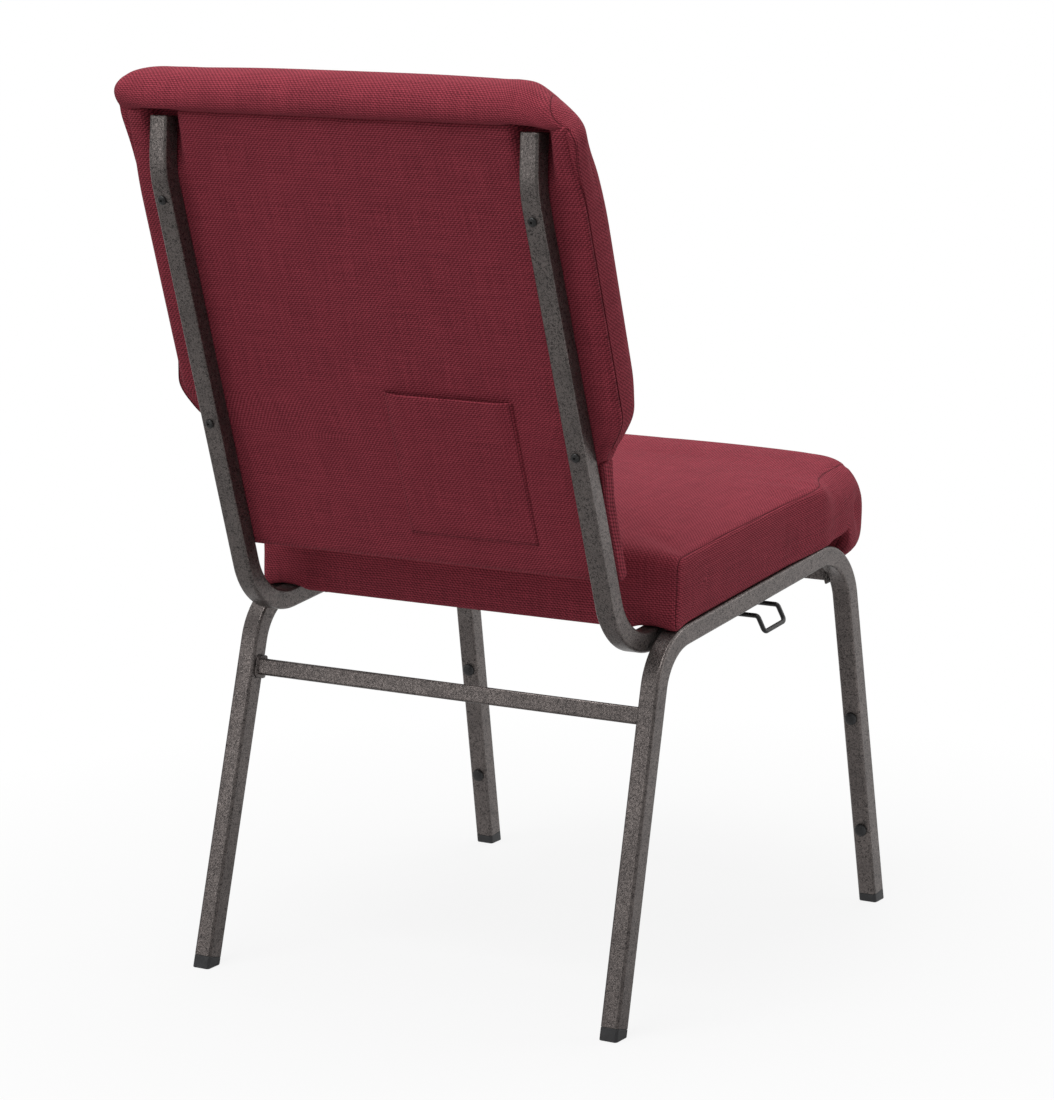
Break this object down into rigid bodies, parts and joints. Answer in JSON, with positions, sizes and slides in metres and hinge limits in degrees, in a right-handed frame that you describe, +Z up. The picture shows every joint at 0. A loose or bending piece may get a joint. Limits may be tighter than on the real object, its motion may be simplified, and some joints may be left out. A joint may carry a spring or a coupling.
{
  "type": "choir chair",
  "caption": "Armless stacking choir chair: a bent square-tube steel frame with a rolled-front cushioned seat, a padded back with a card pocket, and slide-out ganging wires.",
  "frame": {"origin": "on the floor, under the middle of the chair's bounding box", "axes": "+Z up; +X to the sitter's left; -Y the way the sitter faces"},
  "size_m": [0.486, 0.5958, 0.8571],
  "materials": {
    "frame_coat": "copper-vein textured powder coat, semi-gloss",
    "burgundy_cloth": "fine flat-woven upholstery cloth, matt",
    "black_cloth": "thin non-woven dust cover, matt",
    "black_plastic": "moulded nylon, matt",
    "black_rubber": "moulded soft bumper, matt",
    "black_steel": "black coated steel wire, plate and screws, satin",
    "zinc_steel": "bright zinc plate",
    "plywood": "unfinished plywood"
  },
  "bodies": {
    "chair": {"left_side_frame": "frame_coat", "right_side_frame": "frame_coat", "left_upright": "frame_coat", "right_upright": "frame_coat", "left_upright_cap": "frame_coat", "right_upright_cap": "frame_coat", "left_weld_strip": "frame_coat", "right_weld_strip": "frame_coat", "rear_cross_bar": "frame_coat", "front_cross_bar": "frame_coat", "left_run_plug": "black_plastic", "right_run_plug": "black_plastic", "rear_left_foot_glide": "black_plastic", "rear_right_foot_glide": "black_plastic", "front_left_foot_glide": "black_plastic", "front_right_foot_glide": "black_plastic", "left_lower_bumper": "black_rubber", "left_upper_bumper": "black_rubber", "right_lower_bumper": "black_rubber", "right_upper_bumper": "black_rubber", "seat_board": "plywood", "seat_cushion": "burgundy_cloth", "seat_underlining": "black_cloth", "seat_screw_1": "black_steel", "seat_screw_2": "black_steel", "seat_screw_3": "black_steel", "seat_screw_4": "black_steel", "seat_tee_nut_1": "zinc_steel", "seat_tee_nut_2": "zinc_steel", "seat_tee_nut_3": "zinc_steel", "seat_tee_nut_4": "zinc_steel", "back_board": "plywood", "back_cushion": "burgundy_cloth", "outer_back": "burgundy_cloth", "card_pocket": "burgundy_cloth", "back_screw_1": "black_steel", "back_screw_2": "black_steel", "back_screw_3": "black_steel", "back_screw_4": "black_steel", "back_tee_nut_1": "zinc_steel", "back_tee_nut_2": "zinc_steel", "back_tee_nut_3": "zinc_steel", "back_tee_nut_4": "zinc_steel", "hook_bracket": "black_steel", "loop_bracket": "black_steel", "bracket_screw_1": "black_steel", "bracket_screw_2": "black_steel", "bracket_screw_3": "black_steel", "bracket_screw_4": "black_steel"},
    "hook": {"ganging_hook": "black_steel"},
    "loop": {"ganging_loop": "black_steel"}
  },
  "joints": [
    {"name": "hook_slide", "type": "slide", "parent": "chair", "child": "hook", "axis": [1, 0, 0], "range_m": [0, 0.044]},
    {"name": "loop_slide", "type": "slide", "parent": "chair", "child": "loop", "axis": [-1, 0, 0], "range_m": [0, 0.044]}
  ]
}
